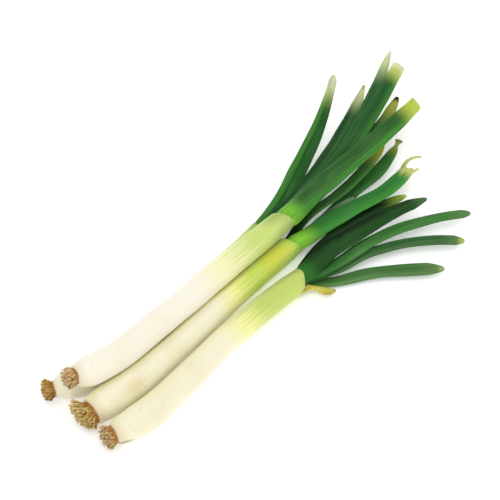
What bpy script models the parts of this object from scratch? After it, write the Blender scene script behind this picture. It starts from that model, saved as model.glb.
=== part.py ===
"""Spring onion bunch: four spring onions lying together, with their leaves fanned out at one end.

Lengths are in millimetres while a shape is worked out, and turn to metres when its mesh is made.
X runs along the bunch from the roots to the leaf tips, Y across it, and Z up from the surface.
"""

import math
import random
from dataclasses import dataclass

import bmesh
import bpy
import numpy as np
from mathutils import Matrix, Vector

MM = 0.001
GAP = 0.3
PRESSED = 0.965

# The middle of the bunch's footprint, in the frame in which the onions are laid out below.
FOOTPRINT_MIDDLE = (18.9, -15.4)

# Faces around a section, and stations along a run. Stations crowd towards a stem's root end and a
# leaf's tip, by these powers.
STEM_SIDES = 16
LEAF_SIDES = 10
STEM_STATIONS = 17
LEAF_STATIONS = 15
STEM_CROWDING = 1.6
LEAF_CROWDING = 1.25
SHARP_ANGLE = math.radians(50)

# The bulb is thickest a little way along the stem, and its swelling dies away over its spread.
BULB_MIDDLE = 18.0
BULB_SPREAD = 26.0
BULB_ROUNDNESS = 0.8
# The neck is drawn in by a share of its radius over its last stretch.
NECK_STRETCH = 14.0
NECK_DRAWN_IN = 0.08

# A leaf's point is cut this far short of its vertex, and keeps this share of the blade's depth.
POINT_BLUNTING = 0.6
LEAST_DEPTH = 0.5
# The blade's edges bend up outside this share of its half width, fully so after a third of its length.
FOLD_LINE = 0.6
FOLD_GAIN = 3.0
HOLLOW_WALL = 0.75
HOLLOW_REACH = 5.0
HOLLOW_NARROWING = 0.8

SHRED_STATIONS = 7
SHRED_SIDES = 6
SHRED_SUNK = 4.0
SHRED_HALF_DEPTH = 0.5
SHRED_THINNING = 0.45

PLATE_SIDES = 14
PLATE_DEPTH = 3.4
PLATE_TOP_SHARE = 0.5
PLATE_BEVEL = 0.4

# Roots stand on the plate on a sunflower spiral, within a share of its radius, and lean out at its rim.
ROOT_SPIRAL = math.radians(137.508)
ROOT_LEAN_AT_RIM = math.radians(32)
ROOT_SPREAD = 0.75
ROOT_SEAT = 0.7
ROOT_SEAT_FALL = 0.35
# Roots get shorter towards the rim, so that the tuft is a dome.
ROOT_DOMING = 0.85
ROOT_RADIUS = 0.8
ROOT_THINNING = 0.35
ROOT_STEPS = (0.0, 0.4, 0.75, 1.0)
ROOT_DROOP = 0.45
ROOT_CLEARANCE = 0.4
ROOT_SHORTEST = 0.8
ROOT_LONGEST = 1.2


@dataclass(frozen=True)
class Shred:
    """A narrow strip that a torn leaf end leaves standing, from its start across the leaf's end."""

    across: float
    width: float
    run: tuple


@dataclass(frozen=True)
class Leaf:
    """One leaf blade: its seat on the stem's end, the places its midline passes, and its section.

    The seat is a place to the left and above the middle of the stem's end. Widths and depths stand at
    even steps from base to tip, point is the length of the pointed end, and fold is how far the blade's
    edges are bent up from its midline.
    """

    name: str
    seat: tuple
    run: tuple
    widths: tuple
    depths: tuple
    point: float = 0.0
    fold: float = 0.0
    hollow: bool = False
    shreds: tuple = ()


@dataclass(frozen=True)
class Onion:
    """One spring onion: the places its stem passes, its girth, its root tuft and its leaves.

    Heights in the run of an onion that lies on the surface are counted from where its girth puts it.
    The stem's root end is drawn in to the end radius over the rounding. The root sweep is how far the
    tuft is brushed to the left and up for each millimetre that it stands out, most so on its left.
    """

    name: str
    run: tuple
    lies: bool
    bulb_radius: float
    shaft_radius: float
    neck_radius: float
    end_radius: float
    rounding: float
    plate_radius: float
    roots: int
    root_length: float
    root_sweep: tuple
    leaves: tuple
    seed: int


BACK_LEAVES = (
    Leaf("leaf_outer", (3.0, -2.2),
         ((41.9, 14.6, 8), (69.4, 23.6, 10), (107.6, 38.4, 14), (150.1, 61.4, 17)),
         (8.5, 11.0, 11.0, 7.6, 5.2), (3.4, 3.0, 2.8, 2.4, 1.8), point=7.0, fold=1.0),
    Leaf("leaf_inner", (0.5, 1.0), ((45, 9, 11), (78.7, 14, 12.5), (115.5, 24.2, 13), (158.9, 42.3, 14)),
         (8.0, 8.4, 9.4, 8.6, 5.0), (2.4, 2.2, 2.0, 2.0, 1.4), point=17.0),
    Leaf("leaf_long", (-3.2, 4.2),
         ((46, 1, 14.8), (75, 4, 14.6), (105, 12, 16), (143, 26, 17), (194.1, 48.7, 18)),
         (6.0, 7.5, 8.6, 7.8, 4.6), (2.2, 2.0, 2.0, 1.8, 1.2), point=15.0),
)

TOP_LEAVES = (
    Leaf("leaf_front", (0.0, 3.2), ((50, -4.2, 25), (80, -4, 25), (117.8, -4.2, 26), (159.6, -1.6, 26)),
         (14.0, 15.0, 13.8, 12.6, 10.0), (5.6, 4.4, 3.8, 3.6, 4.0), hollow=True),
    Leaf("leaf_tall", (1.0, -2.0), ((48, -2, 19.5), (80, 3, 19.5), (122.9, 13.8, 20), (185.3, 33.9, 20)),
         (11.0, 12.5, 12.4, 10.4, 9.0), (3.0, 2.8, 2.8, 2.8, 3.4), hollow=True),
    Leaf("leaf_short", (-1.5, -5.2),
         ((60, -4, 16.8), (106.9, 5.2, 17), (142, 10, 17), (161.9, 16.8, 17)),
         (5.5, 6.0, 6.2, 6.8, 7.4), (2.0, 1.9, 1.9, 1.8, 1.4), point=14.0),
)

MIDDLE_LEAVES = (
    Leaf("leaf_front", (-1.5, 3.2),
         ((45.2, -18.5, 10.5), (67, -22, 10.5), (93.2, -27.7, 10.5), (121.3, -26.3, 11)),
         (12.2, 12.0, 11.0, 10.2, 9.2), (5.2, 4.2, 3.4, 3.0, 2.4),
         shreds=(Shred(2.0, 3.2, ((4.2, 0.6, 2.6), (9.4, -4.2, 3.6))),
                 Shred(-2.4, 2.6, ((2.6, -2.4, -0.4),)))),
    Leaf("leaf_olive", (3.9, -0.9), ((46, -7.2, 11.9), (70, -9.8, 13.2), (92, -8.8, 14), (123.1, -3.1, 14)),
         (6.0, 6.2, 7.0, 7.4, 5.6), (2.2, 2.0, 2.0, 1.8, 1.4), point=9.0),
    Leaf("leaf_back", (0.5, -4.4),
         ((51, -13.5, 6.3), (80.5, -11.6, 6.3), (108.7, -11.4, 7), (136.9, -5.5, 10)),
         (8.5, 7.8, 8.0, 9.0, 4.2), (2.4, 2.4, 2.4, 2.2, 1.6), point=3.0),
    Leaf("leaf_stub", (-2.2, -1.2), ((48, -12.9, 8.4), (66, -14.5, 9), (80, -17, 9)),
         (4.5, 4.5, 3.5), (1.6, 1.5, 1.1), point=8.0),
)

FRONT_LEAVES = (
    Leaf("leaf_broad", (0.5, 4.2),
         ((28, -35, 12), (60.6, -39.5, 12), (85.6, -44.7, 12), (105.6, -51.9, 12)),
         (12.5, 13.0, 11.5, 10.0, 8.0), (3.4, 3.2, 2.8, 2.4, 2.0), point=12.0, fold=-0.6),
    Leaf("leaf_back", (4.2, 0.2),
         ((30.5, -26.9, 7.5), (62.1, -27.4, 7.5), (88.6, -33.7, 7.5), (102.9, -38.4, 7.5)),
         (5.6, 6.2, 7.2, 7.4, 5.6), (2.2, 2.0, 2.0, 1.8, 1.4), point=8.0),
    Leaf("leaf_third", (-2.0, 0.8),
         ((28, -43, 8), (57.1, -47.1, 8), (86, -56.6, 7.6), (117.6, -77.4, 7.6)),
         (7.0, 8.2, 8.2, 7.8, 7.0), (2.3, 2.2, 2.0, 1.8, 1.5), point=6.0),
    Leaf("leaf_fourth", (-1.0, -1.8),
         ((26.1, -44.1, 5.5), (52.4, -51.5, 5.5), (74.8, -64.1, 5.6), (97.9, -87.8, 5.6)),
         (8.0, 7.4, 7.4, 7.8, 8.4), (2.1, 2.0, 1.8, 1.8, 1.5), point=7.0),
    Leaf("leaf_outer", (-2.6, -5.0), ((21, -48, 2), (40.4, -60.6, 3), (58.4, -76.7, 4), (73.1, -91.7, 4)),
         (7.0, 8.2, 9.2, 10.0, 9.8), (1.8, 1.8, 1.8, 1.7, 1.4), point=11.0),
    Leaf("leaf_stub", (3.4, -4.2), ((26.2, -39, 3.5), (44, -43.6, 3.5), (58.4, -55.9, 3.3)),
         (4.6, 3.8, 3.0), (1.5, 1.4, 1.1), point=9.0),
    Leaf("dry_sheath", (-6.3, -3.4), ((10.6, -48.7, 3.2), (17.1, -53.5, 2.6)),
         (5.6, 6.4, 4.6), (1.1, 1.1, 0.9), point=5.0),
)

ONIONS = (
    Onion(
        name="back_onion", lies=True,
        run=((-147.2, 11.8, 0), (-134, 6, 0), (-100, 3.5, 0), (-40, 5, 0), (8, 7, 0), (20, 9, 0)),
        bulb_radius=9.8, shaft_radius=8.2, neck_radius=7.2, end_radius=5.4, rounding=14.0,
        plate_radius=4.8, roots=26, root_length=5.2, root_sweep=(0.1, 0.0), leaves=BACK_LEAVES,
        seed=11,
    ),
    Onion(
        name="top_onion", lies=False,
        run=((-142.6, -2, 28.2), (-127, -5.2, 25.3), (-80, -5.3, 21.9), (-28, -4.9, 21.8),
             (29, -4.6, 22.4)),
        bulb_radius=8.8, shaft_radius=8.9, neck_radius=7.3, end_radius=5.8, rounding=10.0,
        plate_radius=5.2, roots=24, root_length=4.6, root_sweep=(0.1, -0.1), leaves=TOP_LEAVES,
        seed=12,
    ),
    Onion(
        name="middle_onion", lies=True,
        run=((-144.5, -15, 0), (-138, -15.6, 0), (-122, -17.4, 0), (-77, -16.6, 0),
             (-29, -14, 0), (26, -13, 0)),
        bulb_radius=10.1, shaft_radius=9.2, neck_radius=7.6, end_radius=8.2, rounding=16.0,
        plate_radius=7.4, roots=38, root_length=6.2, root_sweep=(0.5, 0.0), leaves=MIDDLE_LEAVES,
        seed=13,
    ),
    Onion(
        name="front_onion", lies=True,
        run=((-146.1, -34.3, 0), (-128, -38, 0), (-91, -36.5, 0), (-56, -33.5, 0),
             (-12, -34, 0), (8, -35, 0)),
        bulb_radius=9.2, shaft_radius=8.3, neck_radius=7.3, end_radius=6.2, rounding=18.0,
        plate_radius=5.6, roots=26, root_length=5.2, root_sweep=(0.1, 0.0), leaves=FRONT_LEAVES,
        seed=14,
    ),
)


def curve(places, t):
    """Points at t, by distance from 0 to 1, along the smooth line through the places."""
    places = np.asarray(places, float)
    knots = np.concatenate([[0.0], np.cumsum(np.linalg.norm(np.diff(places, axis=0), axis=1))])
    slopes = np.gradient(places, knots, axis=0, edge_order=2 if len(places) > 2 else 1)
    fine = np.linspace(0.0, knots[-1], 321)
    left = np.clip(np.searchsorted(knots, fine, "right") - 1, 0, len(knots) - 2)
    span = (knots[left + 1] - knots[left])[:, None]
    u = (fine - knots[left])[:, None] / span
    line = (places[left] * (2 * u**3 - 3 * u**2 + 1) + slopes[left] * span * (u**3 - 2 * u**2 + u)
            + places[left + 1] * (3 * u**2 - 2 * u**3) + slopes[left + 1] * span * (u**3 - u**2))
    reach = np.concatenate([[0.0], np.cumsum(np.linalg.norm(np.diff(line, axis=0), axis=1))])
    where = np.asarray(t, float) * reach[-1]
    slope = np.gradient(line, reach, axis=0)
    points, forward = (np.stack([np.interp(where, reach, values[:, k]) for k in range(3)], axis=1)
                       for values in (line, slope))
    return points, forward / np.linalg.norm(forward, axis=1, keepdims=True), reach[-1]


def frames(places, t):
    """Points along a run, the left and up directions of the section there, and the way ahead."""
    points, forward, length = curve(places, t)
    side = np.cross([0.0, 0.0, 1.0], forward)
    side /= np.linalg.norm(side, axis=1, keepdims=True)
    return points, side, np.cross(forward, side), forward, length


def at_steps(values, t):
    """Values at even steps from 0 to 1, read at t on the smooth line through them."""
    steps = np.linspace(0.0, 1.0, len(values))
    slopes = np.gradient(np.asarray(values, float), steps)
    left = np.clip(np.searchsorted(steps, t, "right") - 1, 0, len(steps) - 2)
    span = steps[1]
    u = (t - steps[left]) / span
    a, b = np.asarray(values, float)[left], np.asarray(values, float)[left + 1]
    return (a * (2 * u**3 - 3 * u**2 + 1) + slopes[left] * span * (u**3 - 2 * u**2 + u)
            + b * (3 * u**2 - 2 * u**3) + slopes[left + 1] * span * (u**3 - u**2))


def rings_of(points, side, up, across, above):
    """Rings of points in space from the section's offsets across and above the run."""
    return (points[:, None, :] + across[:, :, None] * side[:, None, :]
            + above[:, :, None] * up[:, None, :])


def loft(name, rings, material):
    """One closed mesh through the rings, capped at both ends."""
    count, sides = rings.shape[:2]
    shifted = rings - np.array([*FOOTPRINT_MIDDLE, 0.0])
    here = np.arange(count - 1)[:, None] * sides + np.arange(sides)[None, :]
    after = np.arange(count - 1)[:, None] * sides + (np.arange(sides)[None, :] + 1) % sides
    quads = np.stack([here, after, after + sides, here + sides], axis=2).reshape(-1, 4)
    first = list(range(sides))[::-1]
    last = [(count - 1) * sides + k for k in range(sides)]
    mesh = bpy.data.meshes.new(name)
    mesh.from_pydata((shifted.reshape(-1, 3) * MM).tolist(), [], quads.tolist() + [first, last])
    mesh.shade_smooth()
    mesh.set_sharp_from_angle(angle=SHARP_ANGLE)
    mesh.materials.append(material)
    return bpy.data.objects.new(name, mesh)


def material(name, colour, roughness):
    """A plain finish of one colour."""
    made = bpy.data.materials.new(name)
    made.use_nodes = True
    shader = made.node_tree.nodes["Principled BSDF"]
    shader.inputs["Base Color"].default_value = (*colour, 1.0)
    shader.inputs["Roughness"].default_value = roughness
    return made


def stem_girth(onion, reach, length):
    """Radius of the shaft with its bulb, before the bulb is drawn in to the root plate."""
    shaft = onion.shaft_radius + (onion.neck_radius - onion.shaft_radius) * reach / length
    bell = np.exp(-((reach - BULB_MIDDLE) / BULB_SPREAD) ** 2)
    return shaft + (onion.bulb_radius - onion.shaft_radius) * bell


def stem_frames(onion, t):
    """The frames along a stem, at the height where its girth holds it when it lies on the surface."""
    points, side, up, forward, length = frames(onion.run, t)
    if onion.lies:
        points[:, 2] += PRESSED * stem_girth(onion, t * length, length)
    return points, side, up, forward, length


def stem_rings(onion, sides, stations):
    """Rings of a stem, drawn in at both ends and pressed flat where they lie on the surface."""
    t = np.linspace(0.0, 1.0, stations) ** STEM_CROWDING
    points, side, up, _, length = stem_frames(onion, t)
    full = stem_girth(onion, t * length, length)
    drawn = np.sin(np.clip(t * length / onion.rounding, 0.0, 1.0) * math.pi / 2) ** BULB_ROUNDNESS
    neck = np.clip(1.0 - (1.0 - t) * length / NECK_STRETCH, 0.0, 1.0)
    narrowed = 1.0 - NECK_DRAWN_IN * neck**2 * (3.0 - 2.0 * neck)
    radius = ((onion.end_radius + (full - onion.end_radius) * drawn) * narrowed)[:, None]
    turn = (np.arange(sides) + 0.5) * 2 * math.pi / sides
    rings = rings_of(points, side, up, radius * np.cos(turn), radius * np.sin(turn))
    rings[:, :, 2] = np.maximum(rings[:, :, 2], 0.0)
    return rings


def leaf_section(leaf, t, length, sides):
    """Offsets of a flattened tube across and above its run, with its point and its fold."""
    turn = np.arange(sides) * 2 * math.pi / sides
    left = (1.0 - t) * length
    taper = np.ones(len(t))
    if leaf.point:
        taper = np.sqrt(np.clip((left + POINT_BLUNTING) / leaf.point, 0.0, 1.0))
    half_width = at_steps(leaf.widths, t) / 2 * taper
    half_depth = at_steps(leaf.depths, t) / 2 * np.maximum(taper, LEAST_DEPTH)
    across = half_width[:, None] * np.cos(turn)
    above = half_depth[:, None] * np.sin(turn)
    spread = np.sin(np.clip(t * FOLD_GAIN, 0.0, 1.0) * math.pi / 2) * taper
    return across, above + leaf.fold * (np.abs(np.cos(turn)) - FOLD_LINE) * spread[:, None]


def leaf_run(onion, leaf):
    """The places that a leaf's midline passes, from its seat on the end of the stem."""
    end, side, up, forward, _ = stem_frames(onion, np.array([1.0]))
    seat = end[0] + side[0] * leaf.seat[0] + up[0] * leaf.seat[1] + forward[0] * GAP
    return np.array([seat, *leaf.run])


def leaf_rings(onion, leaf, sides, stations):
    """Rings of a leaf from its base to its tip, and back inside where its end is hollow."""
    t = 1.0 - (1.0 - np.linspace(0.0, 1.0, stations)) ** LEAF_CROWDING
    points, side, up, forward, length = frames(leaf_run(onion, leaf), t)
    stem_end = stem_frames(onion, np.array([1.0]))
    side[0], up[0], forward[0] = stem_end[1][0], stem_end[2][0], stem_end[3][0]
    across, above = leaf_section(leaf, t, length, sides)
    rings = rings_of(points, side, up, across, above)
    if not leaf.hollow:
        return rings
    room = 1.0 - HOLLOW_WALL / np.array([np.abs(across[-1]).max(), np.abs(above[-1]).max()])
    inner = [rings_of(points[-1:] - forward[-1:] * back, side[-1:], up[-1:],
                      across[-1:] * room[0] * shrink, above[-1:] * room[1] * shrink)
             for back, shrink in ((0.0, 1.0), (HOLLOW_REACH, HOLLOW_NARROWING))]
    return np.concatenate([rings, *inner])


def shred_rings(rings, shred):
    """Rings of a strip that goes on from the leaf's last ring, sunk into the leaf at its root."""
    end = rings[-1].mean(axis=0)
    ahead = end - rings[-2].mean(axis=0)
    ahead /= np.linalg.norm(ahead)
    side = np.cross([0.0, 0.0, 1.0], ahead)
    edge = end + side * shred.across
    run = [edge - ahead * SHRED_SUNK, *(edge + np.array(place) for place in shred.run)]
    t = np.linspace(0.0, 1.0, SHRED_STATIONS)
    points, side, up, _, _ = frames(run, t)
    turn = np.arange(SHRED_SIDES) * 2 * math.pi / SHRED_SIDES
    half = shred.width / 2 * (1.0 - SHRED_THINNING * t)
    return rings_of(points, side, up, half[:, None] * np.cos(turn),
                    np.minimum(half, SHRED_HALF_DEPTH)[:, None] * np.sin(turn))


def joined(body, extras, scene):
    """The body with the extra solids united to it by one Boolean, applied."""
    group = bpy.data.collections.new(f"{body.name}_repeats")
    for extra in extras:
        group.objects.link(extra)
    scene.collection.children.link(group)
    scene.collection.objects.link(body)
    union = body.modifiers.new("union", "BOOLEAN")
    union.operand_type = "COLLECTION"
    union.collection = group
    union.operation = "UNION"
    union.solver = "EXACT"
    bpy.context.view_layer.update()
    evaluated = body.evaluated_get(bpy.context.evaluated_depsgraph_get())
    mesh = bpy.data.meshes.new_from_object(evaluated)
    body.modifiers.clear()
    body.data = mesh
    scene.collection.objects.unlink(body)
    for extra in extras:
        bpy.data.objects.remove(extra)
    bpy.data.collections.remove(group)
    return body


def leaf_solid(onion, leaf, green, scene):
    """One leaf, with the strips of its torn end joined on."""
    name = f"{onion.name}_{leaf.name}"
    rings = leaf_rings(onion, leaf, LEAF_SIDES, LEAF_STATIONS)
    body = loft(name, rings, green)
    strips = [loft(f"{name}_shred_{k}", shred_rings(rings, shred), green)
              for k, shred in enumerate(leaf.shreds)]
    return joined(body, strips, scene) if strips else body


def root_plate(onion, base, facing, tan):
    """The corky plate under the bulb: a low cone with its edge rounded, standing on its wide end."""
    plate = bmesh.new()
    bmesh.ops.create_cone(plate, cap_ends=True, segments=PLATE_SIDES, depth=PLATE_DEPTH * MM,
                          radius1=onion.plate_radius * MM,
                          radius2=onion.plate_radius * PLATE_TOP_SHARE * MM)
    rim = [edge for edge in plate.edges if all(vert.co.z > 0.0 for vert in edge.verts)]
    bmesh.ops.bevel(plate, geom=rim, offset=PLATE_DEPTH * PLATE_BEVEL * MM, segments=1, affect="EDGES")
    middle = Vector(base + facing * PLATE_DEPTH / 2 - np.array([*FOOTPRINT_MIDDLE, 0.0])) * MM
    turn = Vector(facing).to_track_quat("Z", "Y").to_matrix().to_4x4()
    bmesh.ops.transform(plate, matrix=Matrix.Translation(middle) @ turn, verts=plate.verts)
    mesh = bpy.data.meshes.new(f"{onion.name}_roots")
    plate.to_mesh(mesh)
    plate.free()
    mesh.materials.append(tan)
    return bpy.data.objects.new(mesh.name, mesh)


def rootlet_route(base, direction, droop, length):
    """Places along one trimmed root, which starts along its direction and curls towards its droop."""
    steps = np.array(ROOT_STEPS)[:, None]
    route = base + direction * length * steps + droop * length * ROOT_DROOP * steps**2
    route[1:, 2] = np.maximum(route[1:, 2], ROOT_RADIUS + ROOT_CLEARANCE)
    return route


def rootlet(name, route, tan, scene):
    """One trimmed root: a bevelled curve that thins to its end, made a mesh with its caps welded."""
    curve_data = bpy.data.curves.new(name, "CURVE")
    curve_data.dimensions = "3D"
    curve_data.fill_mode = "FULL"
    curve_data.bevel_depth = MM
    curve_data.bevel_resolution = 1
    curve_data.use_fill_caps = True
    spline = curve_data.splines.new("POLY")
    spline.points.add(len(route) - 1)
    thinning = np.linspace(1.0, 1.0 - ROOT_THINNING, len(route))
    for point, place, thin in zip(spline.points, route, thinning):
        point.co = (*((place - np.array([*FOOTPRINT_MIDDLE, 0.0])) * MM), 1.0)
        point.radius = ROOT_RADIUS * thin
    wire = bpy.data.objects.new(name, curve_data)
    scene.collection.objects.link(wire)
    bpy.context.view_layer.update()
    mesh = bpy.data.meshes.new_from_object(wire.evaluated_get(bpy.context.evaluated_depsgraph_get()))
    bpy.data.objects.remove(wire)
    welded = bmesh.new()
    welded.from_mesh(mesh)
    bmesh.ops.remove_doubles(welded, verts=welded.verts, dist=0.001 * MM)
    bmesh.ops.recalc_face_normals(welded, faces=welded.faces)
    welded.to_mesh(mesh)
    welded.free()
    mesh.materials.clear()
    mesh.materials.append(tan)
    return bpy.data.objects.new(name, mesh)


def roots(onion, tan, scene):
    """The root plate with its trimmed roots, spread over it on a spiral and leaning outwards."""
    draw = random.Random(onion.seed)
    ends, sides, ups, forward, _ = stem_frames(onion, np.array([0.0]))
    side, up, facing = sides[0], ups[0], -forward[0]
    base = ends[0] + facing * GAP
    extras = []
    for k in range(onion.roots):
        out = math.sqrt((k + 0.5) / onion.roots)
        angle = k * ROOT_SPIRAL
        spoke = side * math.cos(angle) + up * math.sin(angle)
        lean = ROOT_LEAN_AT_RIM * out
        swept = (side * onion.root_sweep[0] + up * onion.root_sweep[1]) * (1.0 + out * math.cos(angle))
        direction = facing * math.cos(lean) + spoke * math.sin(lean) + swept
        # Seats sink towards the rim, under the plate's rounded top.
        seat = PLATE_DEPTH * (ROOT_SEAT - ROOT_SEAT_FALL * out**3)
        start = base + facing * seat + spoke * out * onion.plate_radius * ROOT_SPREAD
        curl = draw.uniform(0.0, 2 * math.pi)
        droop = side * math.cos(curl) + up * math.sin(curl)
        length = onion.root_length * draw.uniform(ROOT_SHORTEST, ROOT_LONGEST)
        length *= math.sqrt(1.0 - (ROOT_DOMING * out) ** 2)
        route = rootlet_route(start, direction, droop, length)
        extras.append(rootlet(f"{onion.name}_root_{k}", route, tan, scene))
    return joined(root_plate(onion, base, facing, tan), extras, scene)


def clear_scene():
    """Removes whatever the file opened with."""
    for obj in list(bpy.data.objects):
        bpy.data.objects.remove(obj, do_unlink=True)


def main():
    clear_scene()
    scene = bpy.context.scene
    bunch = bpy.data.collections.new("spring_onion_bunch")
    scene.collection.children.link(bunch)
    white = material("onion_stem_white", (0.90, 0.87, 0.70), 0.45)
    green = material("onion_leaf_green", (0.07, 0.24, 0.06), 0.5)
    tan = material("onion_root_tan", (0.50, 0.33, 0.12), 0.85)
    for onion in ONIONS:
        rings = stem_rings(onion, STEM_SIDES, STEM_STATIONS)
        bunch.objects.link(loft(f"{onion.name}_stem", rings, white))
        bunch.objects.link(roots(onion, tan, scene))
        for leaf in onion.leaves:
            bunch.objects.link(leaf_solid(onion, leaf, green, scene))


main()
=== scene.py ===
"""Looks of the spring onion bunch: fine stems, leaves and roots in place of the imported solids.

Shapes are worked out in millimetres in the layout that the solids were made in, from the same named
values, and turn to metres as their meshes are made. X runs along the bunch from the roots to the leaf
tips, Y across it, and Z up from the surface that it lies on.
"""

import logging
import math
from dataclasses import dataclass
from enum import Enum
from typing import Any

import bpy
import numpy as np
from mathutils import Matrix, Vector


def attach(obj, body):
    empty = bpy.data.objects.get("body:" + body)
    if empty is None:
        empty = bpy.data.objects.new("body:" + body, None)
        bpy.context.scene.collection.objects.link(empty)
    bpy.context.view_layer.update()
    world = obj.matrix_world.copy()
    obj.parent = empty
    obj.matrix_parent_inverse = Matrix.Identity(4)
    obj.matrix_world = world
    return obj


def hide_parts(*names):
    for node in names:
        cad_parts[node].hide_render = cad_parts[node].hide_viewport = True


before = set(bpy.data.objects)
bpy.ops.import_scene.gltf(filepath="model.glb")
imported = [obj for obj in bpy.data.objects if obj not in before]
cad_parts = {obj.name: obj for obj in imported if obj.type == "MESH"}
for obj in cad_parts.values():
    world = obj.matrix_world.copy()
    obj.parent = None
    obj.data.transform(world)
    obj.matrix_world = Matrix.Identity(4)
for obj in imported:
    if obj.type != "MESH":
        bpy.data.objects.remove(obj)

LOG = logging.getLogger("spring_onion_bunch")

MM = 0.001
# Millimetres between a stem's end and what grows out of it.
GAP = 0.3
# Share of its girth that a stem's midline stands above the surface, so that its underside is flat.
PRESSED = 0.965
# Edges that turn by more than this are shaded as sharp.
SHARP = math.radians(62)
# The middle of the bunch's footprint, in the layout.
FOOTPRINT_MIDDLE = np.array([18.9, -15.4, 0.0])

# Sockets of a colour Mix node, which has several of each name.
MIX_FACTOR, MIX_A, MIX_B, MIX_RESULT = 0, 6, 7, 2

Array = np.ndarray
Places = tuple[tuple[float, float, float], ...]
Source = bpy.types.NodeSocket | bpy.types.Node

# Noise scales along and across the sheath or blade, for one over the size in millimetres.
SHEATH_VEINS = (0.016, 0.9, 0.9)
SPECKS = (0.45, 0.8, 0.8)
LEAF_VEINS = (0.02, 1.25, 1.25)
WAX_DRIFTS = (0.04, 0.22, 0.22)
# Share of its length that a spot on a sheath is measured by, which draws it out along the sheath.
SPOT_STRETCH = 0.45


class Rest(Enum):
    """What holds a stem up."""

    SURFACE = "lies on the surface, pressed flat where it touches"
    OTHERS = "lies in the groove between other stems"


class LeafEnd(Enum):
    """How a leaf ends."""

    POINTED = "closed to a point or a blunt tip"
    OPEN = "cut across, so that the tube stands open"
    TORN = "torn off, with a ragged open edge and strips left standing"
    WITHERED = "dried to a thin neck with a small cap"


class Slot(Enum):
    """The record's material slots."""

    SHEATH = "onion_stem_white"
    LEAF = "onion_leaf_green"
    ROOT = "onion_root_tan"


def linear(shade: str) -> tuple[float, float, float, float]:
    """Turns an sRGB hex value to a linear colour with full alpha.

    Args:
        shade: The colour as "#rrggbb".

    Returns:
        Red, green, blue and alpha.
    """
    channels = np.array([int(shade[k:k + 2], 16) for k in (1, 3, 5)]) / 255.0
    bright = ((channels + 0.055) / 1.055) ** 2.4
    return (*np.where(channels <= 0.04045, channels / 12.92, bright).tolist(), 1.0)


def feed(socket: bpy.types.NodeSocket, source: Source) -> None:
    """Links an input to an output, or to a node's first output."""
    output = source.outputs[0] if isinstance(source, bpy.types.Node) else source
    socket.id_data.links.new(output, socket)


def set_shader(shader: bpy.types.Node, values: dict[str, Any], links: dict[str, Source]) -> None:
    """Sets a shader's own sockets to constants and feeds others."""
    for key, value in values.items():
        shader.inputs[key].default_value = value
    for key, source in links.items():
        feed(shader.inputs[key], source)


def add_node(tree: bpy.types.NodeTree, kind: str, settings: dict[Any, Any] | None = None,
             links: dict[Any, Source] | None = None) -> bpy.types.Node:
    """Adds a node with its settings and links.

    Args:
        tree: The node tree that takes it.
        kind: The node's type, without "ShaderNode" in front.
        settings: Values of its properties, of its inputs by name or number, and "stops" of its ramp.
        links: What feeds each input, by the input's name or number.

    Returns:
        The node.
    """
    node = tree.nodes.new(f"ShaderNode{kind}")
    for key, value in (settings or {}).items():
        if key == "stops":
            ramp = node.color_ramp
            while len(ramp.elements) < len(value):
                ramp.elements.new(0.5)
            for element, (place, shade) in zip(ramp.elements, value):
                element.position = place
                element.color = linear(shade)
        elif isinstance(key, str) and hasattr(node, key):
            setattr(node, key, value)
        else:
            node.inputs[key].default_value = value
    for key, source in (links or {}).items():
        feed(node.inputs[key], source)
    return node


def ease(values: Array, start: float, end: float) -> Array:
    """Rises from 0 at start to 1 at end: 3 u^2 - 2 u^3, with u the clipped way from start to end."""
    u = np.clip((values - start) / (end - start), 0.0, 1.0)
    return u * u * (3.0 - 2.0 * u)


def unit(vectors: Array) -> Array:
    """Each vector divided by its own length."""
    return vectors / np.linalg.norm(vectors, axis=-1, keepdims=True)


def ripple(seed: int, along: Array, around: Array, length: float, folds: int) -> Array:
    """Smooth random relief, about -1 to 1, closed around the section.

    It is the sum of eight sines, each sin(2 pi along / own length + own whole number of folds times
    around + own phase), divided so that its spread is about a half.

    Args:
        seed: Seed of the draw.
        along: Distances along the run.
        around: Angles around the section.
        length: Typical length of one wave along the run.
        folds: Most waves around the section.

    Returns:
        The relief at each point.
    """
    draw = np.random.default_rng(seed)
    total = np.zeros(np.broadcast_shapes(np.shape(along), np.shape(around)))
    for _ in range(8):
        own_length = length * draw.uniform(0.6, 1.8) * draw.choice((-1.0, 1.0))
        own_folds = int(draw.integers(0, folds + 1))
        phase = draw.uniform(0.0, 2.0 * math.pi)
        total = total + np.sin(2.0 * math.pi * along / own_length + own_folds * around + phase)
    return total / 4.0


def hermite(u: Array, values: Array, slopes: Array, left: Array, span: Array | float) -> Array:
    """Cubic Hermite spline between the values at left and left + 1, at shares u of the span.

    It is (2u^3 - 3u^2 + 1) * value + (u^3 - 2u^2 + u) * span * slope of the left one, plus
    (3u^2 - 2u^3) * value + (u^3 - u^2) * span * slope of the right one.

    Args:
        u: Shares of the span, 0 to 1.
        values: The known values.
        slopes: Their slopes.
        left: Number of the known value before each point.
        span: Distance between the two known values.

    Returns:
        The value at each point.
    """
    return (values[left] * (2 * u**3 - 3 * u**2 + 1) + slopes[left] * span * (u**3 - 2 * u**2 + u)
            + values[left + 1] * (3 * u**2 - 2 * u**3) + slopes[left + 1] * span * (u**3 - u**2))


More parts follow.
